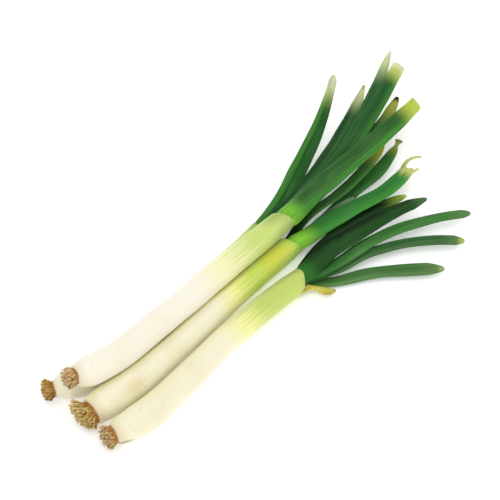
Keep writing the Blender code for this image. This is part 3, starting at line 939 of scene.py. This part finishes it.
    def skin(self, stem: Stem) -> Skin:
        """Works out the blade's skin, and back down inside it where its end is open.

        The inner side is the section shrunk by the wall, drawn to 0.7 at its depth.

        Args:
            stem: The stem that it grows from.

        Returns:
            The skin, with its fields.
        """
        line, length = self.line(stem)
        turn = np.arange(self.sides) * 2.0 * math.pi / self.sides
        steps = np.linspace(0.0, 1.0, self.rows)[:, None]
        steps = 0.35 * steps + 0.65 * (1.0 - (1.0 - steps) ** 1.5)
        stop = self.ending(turn)
        span = length + self.sunk
        reach = -self.sunk + steps * span - stop * ease(steps * span, span - 30.0, span)
        across, above = self.section(reach, turn, length, stem)
        inside = np.zeros_like(reach)
        if self.end in (LeafEnd.OPEN, LeafEnd.TORN):
            back = np.array([0.0, 0.08, 0.5, 1.0])[:, None] * self.open_depth
            inner_reach = reach[-1] - back
            inner_across, inner_above = self.section(inner_reach, turn, length, stem)
            middle = inner_above.mean(axis=1, keepdims=True)
            room_across = 1.0 - self.wall / np.abs(inner_across).max()
            room_above = 1.0 - self.wall / np.abs(inner_above - middle).max()
            shrink = np.array([1.0, 1.0, 0.9, 0.7])[:, None]
            across = np.concatenate([across, inner_across * room_across * shrink])
            above = np.concatenate([above, middle + (inner_above - middle) * room_above * shrink])
            reach = np.concatenate([reach, inner_reach])
            inside = np.concatenate([inside, np.ones_like(inner_reach)])
        rings = line.offset(reach, across, above)
        rings[..., 2] = np.maximum(rings[..., 2], 0.0)
        cosine = np.broadcast_to(np.cos(turn), reach.shape)
        fields = {"straight": np.stack([reach, across, above], axis=-1),
                  "place": np.stack([reach, length - stop - reach, cosine], axis=-1),
                  "mark": np.stack([inside, inside, inside], axis=-1)}
        skins = [Skin.over(rings, fields)]
        skins += [self.strip_skin(strip, line, length) for strip in self.strips]
        return Skin.joined(skins)

    def strip_skin(self, strip: Strip, line: Run, length: float) -> Skin:
        """Works out a torn strip: a flat tube that narrows along its run and curls at its end.

        Args:
            strip: The strip.
            line: The blade's midline.
            length: The blade's length.

        Returns:
            The strip's skin, with the blade's fields.
        """
        tip = line.read(line.points, np.array(length))
        ahead = unit(tip - line.read(line.points, np.array(length - 5.0)))
        side = np.cross([0.0, 0.0, 1.0], ahead)
        start = tip + side * strip.across - ahead * strip.rooted
        places = [start, *(start + ahead * strip.rooted + np.array(place) for place in strip.run)]
        rows, sides = 40, 16
        t = np.linspace(0.0, 1.0, rows)
        points, forward, own_length = curve(np.array(places), t)
        own = Run.along(t * own_length, points, forward)
        turn = np.arange(sides) * 2.0 * math.pi / sides
        reach = np.broadcast_to((t * own_length)[:, None], (rows, sides))
        left = own_length - reach
        half = strip.width / 2.0 * (1.0 - 0.45 * t[:, None]) * np.sqrt(np.clip(left / 1.0, 0.0, 1.0))
        across, above = half * np.cos(turn), np.minimum(half, 0.42) * np.sin(turn)
        above = above - 0.12 * np.cos(turn) ** 2
        zero = np.zeros_like(reach)
        return Skin.over(own.offset(reach, across, above),
                         {"straight": np.stack([reach + length, across, above], axis=-1),
                          "place": np.stack([reach + length, left * 0.35, zero], axis=-1),
                          "mark": np.stack([zero, zero, zero], axis=-1)})

    def build(self, onion: str, stem: Stem) -> bpy.types.Object:
        """Builds the blade and dresses it in its leaf finish."""
        name = f"{onion}_{self.name}"
        return self.skin(stem).piece(f"{name}_blade", self.finish.material(f"{name}_skin"), Slot.LEAF,
                                     name)


@dataclass(frozen=True)
class RootEnd:
    """The middle of a stem's root end, with left, up and the way out of the stem there."""

    base: Array
    side: Array
    up: Array
    facing: Array


@dataclass(frozen=True)
class Roots:
    """The corky plate under the bulb, with its trimmed roots."""

    length: float
    plate_radius: float
    seed: int
    finish: RootFinish
    plate_finish: RootFinish = RootFinish("#8d5c34", "#b58a50", "#d8c08a")
    count: int = 150
    sweep: tuple[float, float] = (0.0, 0.0)
    radius: float = 0.5
    plate_depth: float = 2.6
    spread: float = 0.93
    curl: float = 0.3
    wave: float = 0.4
    spiral: float = math.radians(137.508)
    lean_at_rim: float = math.radians(32.0)
    doming: float = 0.85

    def plate_skin(self, at: RootEnd) -> Skin:
        """Works out the plate: a lumpy dome, radius R sqrt(1 - v^3) and height depth * v^0.9.

        Args:
            at: The stem's root end.

        Returns:
            The skin, with its fields.
        """
        rows, sides = 26, 48
        v = np.linspace(0.0, 1.0, rows)[:, None]
        turn = -np.arange(sides) * 2.0 * math.pi / sides
        lump = ripple(self.seed, v * 6.0, turn, 4.0, 9)
        radius = self.plate_radius * 0.95 * np.sqrt(np.clip(1.0 - v**3, 0.0, 1.0)) * (1.0 + 0.05 * lump)
        height = -1.2 + (self.plate_depth + 0.6) * v**0.9 + 0.35 * lump * (1.0 - v**4)
        across, above = radius * np.cos(turn), radius * np.sin(turn)
        rings = (at.base + across[..., None] * at.side + above[..., None] * at.up
                 + height[..., None] * at.facing)
        rings[..., 2] = np.maximum(rings[..., 2], 0.05)
        whole = np.broadcast_to(height, across.shape)
        flat = np.broadcast_to(v, across.shape)
        return Skin.over(rings, {"straight": np.stack([whole, across, above], axis=-1),
                                 "place": np.stack([whole, flat * 0.4, 0.5 + 0.0 * whole], axis=-1)})

    def fibre_skin(self, at: RootEnd) -> Skin:
        """Works out the roots: thin tubes on a sunflower spiral, leaning outwards and curling.

        Each runs start + direction * length * u + droop * length * curl * u^2, with a wave of its own
        across it, and its radius falls to 0.6 of its start. Lengths follow a dome, sqrt(1 - (doming *
        out)^2), and sweep turns the roots to the left and up, most on the left.

        Args:
            at: The stem's root end.

        Returns:
            The skin of all the roots, with its fields.
        """
        draw = np.random.default_rng(self.seed)
        side, up, facing = at.side, at.up, at.facing
        k = np.arange(self.count)[:, None]
        out = np.sqrt((k + 0.5) / self.count)
        angle = k * self.spiral + draw.uniform(-0.2, 0.2, (self.count, 1))
        spoke = side * np.cos(angle) + up * np.sin(angle)
        tangent = up * np.cos(angle) - side * np.sin(angle)
        lean = self.lean_at_rim * out * draw.uniform(0.8, 1.1, (self.count, 1))
        direction = (facing * np.cos(lean) + spoke * np.sin(lean)
                     + (side * self.sweep[0] + up * self.sweep[1]) * (1.0 + out * np.cos(angle)))
        start = (at.base + facing * self.plate_depth * (0.55 - 0.4 * out**3)
                 + spoke * out * self.plate_radius * self.spread)
        bend = draw.uniform(0.0, 2.0 * math.pi, (self.count, 1))
        droop = side * np.cos(bend) + up * np.sin(bend)
        long = self.length * draw.uniform(0.9, 1.1, (self.count, 1)) * np.sqrt(
            1.0 - (self.doming * out) ** 2)
        u = np.linspace(0.0, 1.0, 11)[None, :, None]
        pace = draw.uniform(2.5, 6.5, (self.count, 1, 1))
        phase = draw.uniform(0.0, 2.0 * math.pi, (self.count, 1, 1))
        wave = self.wave * (np.sin(pace * u + phase) - np.sin(phase))
        path = (start[:, None] + (direction * long)[:, None] * u
                + (droop * long)[:, None] * self.curl * u**2 + wave * tangent[:, None])
        thick = self.radius * draw.uniform(0.75, 1.3, (self.count, 1, 1))
        path[..., 2] = np.maximum(path[..., 2], thick[..., 0] * 1.05 + 0.05)
        forward = unit(np.gradient(path, axis=1))
        over = unit(np.cross(forward, tangent[:, None]))
        left = np.cross(over, forward)
        sides = 7
        turn = (np.arange(sides) * 2.0 * math.pi / sides)[None, None, :, None]
        radius = thick[..., None] * (1.0 - 0.4 * u[..., None]) * np.sqrt(
            np.clip((1.02 - u[..., None]) / 0.12, 0.0, 1.0))
        rings = (path[:, :, None] + radius * (np.cos(turn) * left[:, :, None]
                                              + np.sin(turn) * over[:, :, None]))
        shape = rings.shape[:-1]
        way = np.broadcast_to(u, shape)
        own = np.broadcast_to(draw.uniform(-0.5, 0.7, (self.count, 1, 1)), shape)
        return Skin.over(rings, {"straight": rings - at.base,
                                 "place": np.stack([way * self.length, way, own], axis=-1)})

    def build(self, name: str, stem: Stem) -> list[bpy.types.Object]:
        """Builds the plate and the roots on a stem and dresses them.

        Args:
            name: The onion's name.
            stem: Its stem.

        Returns:
            The pieces.
        """
        line = stem.line()
        side, up = line.side[1], line.up[1]
        facing = -np.cross(side, up)
        at = RootEnd(line.points[1] + facing * (GAP + stem.dome * 0.8), side, up, facing)
        node = f"{name}_roots"
        cork, fibre = self.plate_finish.material(f"{name}_cork"), self.finish.material(f"{name}_root")
        return [self.plate_skin(at).piece(f"{name}_root_plate", cork, Slot.ROOT, node),
                self.fibre_skin(at).piece(f"{name}_rootlets", fibre, Slot.ROOT, node)]


@dataclass(frozen=True)
class Onion:
    """One spring onion: stem, roots and leaves."""

    name: str
    stem: Stem
    roots: Roots
    leaves: tuple[Leaf, ...]

    def build(self) -> list[bpy.types.Object]:
        """Builds every piece of the onion."""
        pieces = [self.stem.build(self.name), *self.roots.build(self.name, self.stem)]
        pieces += [leaf.build(self.name, self.stem) for leaf in self.leaves]
        LOG.info("%s: %d pieces", self.name, len(pieces))
        return pieces


BACK_ONION = Onion(
    name="back_onion",
    stem=Stem(
        run=((-147.2, 11.8, 0), (-134, 6, 0), (-100, 3.5, 0), (-40, 5, 0), (8, 7, 0), (20, 9, 0)),
        rest=Rest.SURFACE, bulb_radius=9.8, shaft_radius=8.2, neck_radius=7.2, end_radius=5.4,
        rounding=14.0, finish=SheathFinish(ivory_to=104, lime_from=138, length=167.7, lime="#c3d47c",
                                           neck="#7ba648", painted_crevices=(PaintedCrevice(124, 58, share=0.3),)),
        seed=21, mouth_slant=9.0, mouth_lean=20.0),
    roots=Roots(length=5.2, plate_radius=4.8, seed=11, sweep=(0.1, 0.0),
                finish=RootFinish("#7a5228", "#b58a48", "#cfae6a", "#4c2c17", 0.8)),
    leaves=(
        Leaf("leaf_outer", (3.0, -2.2),
             ((41.9, 14.6, 8), (69.4, 23.6, 10), (107.6, 38.4, 14), (150.1, 61.4, 17)),
             (8.5, 11.0, 11.0, 7.6, 5.2), (3.4, 3.0, 2.8, 2.4, 1.8),
             LeafFinish("#5c8c38", "#19521c", "#3c7a30", "#3f6a35", "#b4c07c", "#c0c8a2",
                        base_reach=10.0, tip_reach=28.0, scorch_reach=16.0, edge_at=0.25),
             point=7.0, fold=1.0, crease=(-0.1, 0.6)),
        Leaf("leaf_inner", (0.5, 1.0),
             ((45, 9, 11), (78.7, 14, 12.5), (115.5, 24.2, 13), (158.9, 42.3, 14)),
             (8.0, 8.4, 9.4, 8.6, 5.0), (2.4, 2.2, 2.0, 2.0, 1.4),
             LeafFinish("#3a7430", "#2a5a28", "#17401c", "#3a5c34", "#b9c28c", "#a39c68", base_reach=9.0,
                        tip_reach=26.0, scorch_reach=5.0, edge_at=0.4),
             point=17.0, crease=(0.1, 0.8)),
        Leaf("leaf_long", (-3.2, 4.2),
             ((46, 1, 14.8), (75, 4, 14.6), (105, 12, 16), (143, 26, 17), (194.1, 48.7, 18)),
             (6.0, 7.5, 8.6, 7.8, 4.6), (2.2, 2.0, 2.0, 1.8, 1.2),
             LeafFinish("#447c36", "#28582a", "#35692c", "#446840", "#b9c690", "#d0d4ac", base_reach=8.0,
                        tip_reach=30.0, scorch_reach=6.0),
             point=15.0),
    ))

TOP_ONION = Onion(
    name="top_onion",
    stem=Stem(
        run=((-142.6, -2, 28.2), (-127, -5.2, 25.3), (-80, -5.3, 21.9), (-28, -4.9, 21.8),
             (29, -4.6, 22.4)),
        rest=Rest.OTHERS, bulb_radius=8.8, shaft_radius=8.9, neck_radius=7.3, end_radius=5.8,
        rounding=10.0, finish=SheathFinish(ivory_to=92, lime_from=140, length=172.3, lime="#c8d87c",
                                          neck="#a5c455", patch_share=0.1, stain_reach=4.0,
                                          spots=(Spot(166, 70, 9.0, "#7d9a4a", 0.6),
                                                 Spot(166, 172, 9.0, "#8ba354", 0.5)),
                                          painted_crevices=(PaintedCrevice(234, 34),)),
        seed=22, mouth_slant=8.0, mouth_lean=205.0),
    roots=Roots(length=4.6, plate_radius=5.2, seed=12, sweep=(0.1, -0.1),
                finish=RootFinish("#b98a50", "#cfa56a", "#d3c39a", "#7a6a38", 0.6)),
    leaves=(
        Leaf("leaf_front", (0.0, 3.2),
             ((50, -4.2, 25), (80, -4, 25), (117.8, -4.2, 26), (159.6, -1.6, 26)),
             (14.0, 15.0, 13.8, 12.6, 10.0), (5.6, 4.4, 3.8, 3.6, 4.0),
             LeafFinish("#6cab36", "#295a25", "#3f852f", "#4c6f3c", "#b2c44c", "#c3c884",
                        base_reach=13.0, tip_reach=17.0, scorch_reach=1.2, bloom_share=0.5, edge_at=-0.55),
             end=LeafEnd.OPEN, cut_slant=5.0, cut_lean=0.0, crease=(0.35, 0.35)),
        Leaf("leaf_tall", (1.0, -2.0),
             ((48, -2, 19.5), (80, 3, 19.5), (122.9, 13.8, 20), (185.3, 33.9, 20)),
             (11.0, 12.5, 12.4, 10.4, 9.0), (3.0, 2.8, 2.8, 2.8, 3.4),
             LeafFinish("#5c9c36", "#235523", "#37722c", "#42683a", "#b9c66a", "#cfd2a4",
                        base_reach=12.0, tip_reach=17.0, scorch_reach=5.0, edge_at=-0.5),
             end=LeafEnd.OPEN, cut_slant=3.0, cut_lean=0.0, crease=(-0.2, 0.2)),
        Leaf("leaf_short", (-1.5, -5.2),
             ((60, -4, 16.8), (106.9, 5.2, 17), (142, 10, 17), (161.9, 16.8, 17)),
             (5.5, 6.0, 6.2, 6.8, 7.4), (2.0, 1.9, 1.9, 1.8, 1.4),
             LeafFinish("#4c8a38", "#35602a", "#3f6c2e", "#4a6c40", "#93963c", "#1d2418", tip_reach=26.0,
                        scorch_reach=5.0),
             point=14.0),
    ))

MIDDLE_ONION = Onion(
    name="middle_onion",
    stem=Stem(
        run=((-144.5, -15, 0), (-138, -15.6, 0), (-122, -17.4, 0), (-77, -16.6, 0), (-29, -14, 0),
             (26, -13, 0)),
        rest=Rest.SURFACE, bulb_radius=10.1, shaft_radius=9.2, neck_radius=7.6, end_radius=8.2,
        rounding=16.0, finish=SheathFinish(ivory_to=96, lime_from=128, length=169.9, ivory="#eee9d0",
                                           cream="#f0eca0", lime="#cbdc62", neck="#86c846",
                                           patch="#dccb8f", patch_share=0.2, stain="#c9a878",
                                           spots=(Spot(150, 110, 8.0, "#d2cf3c"),
                                                  Spot(25, 130, 5.0, "#dcc694", 0.6)),
                                           painted_crevices=(PaintedCrevice(54, 32),)),
        seed=23, mouth_slant=7.0, mouth_lean=215.0),
    roots=Roots(length=6.2, plate_radius=7.4, seed=13, count=230, sweep=(0.5, 0.0),
                finish=RootFinish("#8f6428", "#bf9448", "#d8c890", "#9a7a3c", 0.4)),
    leaves=(
        Leaf("leaf_front", (-1.5, 3.2),
             ((45.2, -18.5, 10.5), (67, -22, 10.5), (93.2, -27.7, 10.5), (121.3, -26.3, 11)),
             (12.2, 12.0, 11.0, 10.2, 9.2), (5.2, 4.2, 3.4, 3.0, 2.4),
             LeafFinish("#84c43c", "#327a32", "#3c8a35", "#477d42", "#bcc276", "#c3bd78",
                        base_reach=18.0, tip_reach=8.0, scorch_reach=1.6, bloom_share=0.3),
             end=LeafEnd.TORN,
             strips=(Strip(2.0, 3.2, ((4.2, 0.6, 2.6), (9.4, -4.2, 3.6))),
                     Strip(-2.4, 2.6, ((2.6, -2.4, -0.4),))),
             crease=(0.3, 0.3)),
        # Its near-black base, over 48 mm, is painted shade where it lies among the leaves above it.
        Leaf("leaf_olive", (3.9, -0.9),
             ((46, -7.2, 11.9), (70, -9.8, 13.2), (92, -8.8, 14), (123.1, -3.1, 14)),
             (6.0, 6.2, 7.0, 7.4, 5.6), (2.2, 2.0, 2.0, 1.8, 1.4),
             LeafFinish("#0c260e", "#356a2a", "#417434", "#4a7040", "#a8a43e", "#57431f",
                        base_reach=48.0, tip_reach=19.0, scorch_reach=2.5),
             point=9.0),
        # Its darker base, over 44 mm, is painted shade where it lies among the leaves above it.
        Leaf("leaf_back", (0.5, -4.4),
             ((51, -13.5, 6.3), (80.5, -11.6, 6.3), (108.7, -11.4, 7), (136.9, -5.5, 10)),
             (8.5, 7.8, 8.0, 9.0, 4.2), (2.4, 2.4, 2.4, 2.2, 1.6),
             LeafFinish("#1f4c20", "#2c692a", "#3a7434", "#446e3e", "#8f9a48", "#8a8452",
                        base_reach=44.0, tip_reach=14.0, scorch_reach=2.4),
             point=3.0, end=LeafEnd.WITHERED),
        Leaf("leaf_stub", (-2.2, -1.2), ((48, -12.9, 8.4), (66, -14.5, 9), (80, -17, 9)),
             (4.5, 4.5, 3.5), (1.6, 1.5, 1.1),
             LeafFinish("#5a9a40", "#3b7036", "#5f7f5a", "#5c7d55", "#6d8a68", "#2a3424",
                        tip_reach=18.0, scorch_reach=2.0),
             point=8.0),
    ))

FRONT_ONION = Onion(
    name="front_onion",
    stem=Stem(
        run=((-146.1, -34.3, 0), (-128, -38, 0), (-91, -36.5, 0), (-56, -33.5, 0), (-12, -34, 0),
             (8, -35, 0)),
        rest=Rest.SURFACE, bulb_radius=9.2, shaft_radius=8.3, neck_radius=7.3, end_radius=6.2,
        rounding=18.0, finish=SheathFinish(ivory_to=84, lime_from=120, length=155.0, ivory="#ebe6cd",
                                           cream="#ecea9e", lime="#bfd06c", neck="#a9bd5c",
                                           patch_share=0.15, stain="#cdb078",
                                           spots=(Spot(144, 215, 5.0, "#dccf52"),
                                                  Spot(1, 205, 4.0, "#5a4030", 0.9)),
                                           painted_crevices=(PaintedCrevice(35, 55, green="#93a54c"),)),
        seed=24, mouth_slant=7.5, mouth_lean=60.0),
    roots=Roots(length=5.2, plate_radius=5.6, seed=14, sweep=(0.1, 0.0),
                finish=RootFinish("#a0703a", "#c0955a", "#cfc094", "#8a6a3c", 0.5)),
    leaves=(
        Leaf("leaf_broad", (0.5, 4.2),
             ((28, -35, 12), (60.6, -39.5, 12), (85.6, -44.7, 12), (105.6, -51.9, 12)),
             (12.5, 13.0, 11.5, 10.0, 8.0), (3.4, 3.2, 2.8, 2.4, 2.0),
             LeafFinish("#2f6a28", "#1d461c", "#0a240a", "#2f5229", "#44663a", "#5c7048",
                        base_reach=12.0, tip_reach=10.0, edge_at=0.42),
             point=12.0, fold=-0.6, crease=(0.2, 0.5)),
        # Its near-black base and blade are painted shade where it lies under the broad leaf.
        Leaf("leaf_back", (4.2, 0.2),
             ((30.5, -26.9, 7.5), (62.1, -27.4, 7.5), (88.6, -33.7, 7.5), (102.9, -38.4, 7.5)),
             (5.6, 6.2, 7.2, 7.4, 5.6), (2.2, 2.0, 2.0, 1.8, 1.4),
             LeafFinish("#0c220c", "#10280f", "#1e3c1c", "#24421f", "#6f8c34", "#a0a84c",
                        base_reach=20.0, tip_reach=15.0, scorch_reach=3.0),
             point=8.0),
        Leaf("leaf_third", (-2.0, 0.8),
             ((28, -43, 8), (57.1, -47.1, 8), (86, -56.6, 7.6), (117.6, -77.4, 7.6)),
             (7.0, 8.2, 8.2, 7.8, 7.0), (2.3, 2.2, 2.0, 1.8, 1.5),
             LeafFinish("#265726", "#3a7532", "#437a38", "#507a48", "#527a46", "#7c9070",
                        base_reach=46.0, tip_reach=14.0),
             point=6.0),
        Leaf("leaf_fourth", (-1.0, -1.8),
             ((26.1, -44.1, 5.5), (52.4, -51.5, 5.5), (74.8, -64.1, 5.6), (97.9, -87.8, 5.6)),
             (8.0, 7.4, 7.4, 7.8, 8.4), (2.1, 2.0, 1.8, 1.8, 1.5),
             LeafFinish("#275426", "#31602f", "#426a3c", "#4c6f46", "#567a4c", "#9aac5a",
                        base_reach=40.0, tip_reach=12.0, scorch_reach=4.0),
             point=7.0),
        Leaf("leaf_outer", (-2.6, -5.0),
             ((21, -48, 2), (40.4, -60.6, 3), (58.4, -76.7, 4), (73.1, -91.7, 4)),
             (7.0, 8.2, 9.2, 10.0, 9.8), (1.8, 1.8, 1.8, 1.7, 1.4),
             LeafFinish("#548a34", "#3f6c36", "#567c49", "#587a4c", "#5c7c46", "#869c60", tip_reach=14.0,
                        scorch_reach=4.0),
             point=11.0, crease=(0.3, 0.7)),
        Leaf("leaf_stub", (3.4, -4.2), ((26.2, -39, 3.5), (44, -43.6, 3.5), (58.4, -55.9, 3.3)),
             (4.6, 3.8, 3.0), (1.5, 1.4, 1.1),
             LeafFinish("#2f6628", "#265a22", "#30602a", "#3c6436", "#5c7c50", "#3a4a34", tip_reach=10.0),
             point=9.0),
        Leaf("dry_sheath", (-6.3, -3.4), ((10.6, -48.7, 3.2), (17.1, -53.5, 2.6)),
             (5.6, 6.4, 4.6), (1.1, 1.1, 0.9),
             LeafFinish("#dcd060", "#b3b045", "#a08a3c", "#5c7d55", "#b0b850", "#a88c4c",
                        tip_reach=5.0, bloom_share=0.1),
             point=5.0),
    ))


@dataclass(frozen=True)
class Studio:
    """White sweep, soft daylight and the camera at the photograph's angle, in metres."""

    target: tuple[float, float, float] = (-0.0189, 0.0154, 0.012)
    azimuth: float = -47.6
    elevation: float = 48.0
    distance: float = 0.90
    lens: float = 108.0
    floor_size: float = 6.0
    sky: float = 1.0
    key_power: float = 1.5
    key_place: tuple[float, float, float] = (-0.25, -0.20, 0.95)
    key_size: float = 0.8

    def floor(self) -> bpy.types.Object:
        """Lays the floor a tenth of a millimetre under the bunch."""
        half = self.floor_size / 2.0
        mesh = bpy.data.meshes.new("paper_sweep")
        corners = [(x * half, y * half, -0.1 * MM) for x, y in ((-1, -1), (1, -1), (1, 1), (-1, 1))]
        mesh.from_pydata(corners, [], [(0, 1, 2, 3)])
        mesh.materials.append(FloorFinish().material("paper_white"))
        made = bpy.data.objects.new("paper_sweep", mesh)
        bpy.context.scene.collection.objects.link(made)
        return made

    def lights(self) -> None:
        """Sets an even white sky and one large soft lamp behind the bunch."""
        scene = bpy.context.scene
        sky = bpy.data.worlds.new("even_sky")
        scene.world = sky
        sky.use_nodes = True
        shade = sky.node_tree.nodes["Background"]
        shade.inputs["Color"].default_value = (1.0, 1.0, 1.0, 1.0)
        shade.inputs["Strength"].default_value = self.sky
        data = bpy.data.lights.new("soft_key", "AREA")
        data.shape = "DISK"
        data.size = self.key_size
        data.energy = self.key_power
        lamp = bpy.data.objects.new("soft_key", data)
        scene.collection.objects.link(lamp)
        lamp.location = self.key_place
        lamp.rotation_euler = (Vector(self.target) - lamp.location).to_track_quat("-Z", "Y").to_euler()

    def camera(self) -> None:
        """Stands the camera back from its target by the view direction times the distance."""
        turn, rise = math.radians(self.azimuth), math.radians(self.elevation)
        back = Vector((math.sin(turn) * math.cos(rise), -math.cos(turn) * math.cos(rise), math.sin(rise)))
        data = bpy.data.cameras.new("photo_view")
        data.lens = self.lens
        data.sensor_width = 36.0
        made = bpy.data.objects.new("photo_view", data)
        bpy.context.scene.collection.objects.link(made)
        made.location = Vector(self.target) + back * self.distance
        made.rotation_euler = (-back).to_track_quat("-Z", "Y").to_euler()
        bpy.context.scene.camera = made

    def build(self) -> None:
        """Builds the floor, the lights and the camera, with colours shown as they are lit."""
        self.floor()
        self.lights()
        self.camera()
        bpy.context.scene.view_settings.view_transform = "Standard"
        LOG.info("studio ready")


def main() -> None:
    logging.basicConfig(level=logging.INFO, format="%(name)s: %(message)s")
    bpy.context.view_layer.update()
    Studio().build()
    for onion in (BACK_ONION, TOP_ONION, MIDDLE_ONION, FRONT_ONION):
        onion.build()
    bpy.context.view_layer.update()


if __name__ == "__main__":
    main()
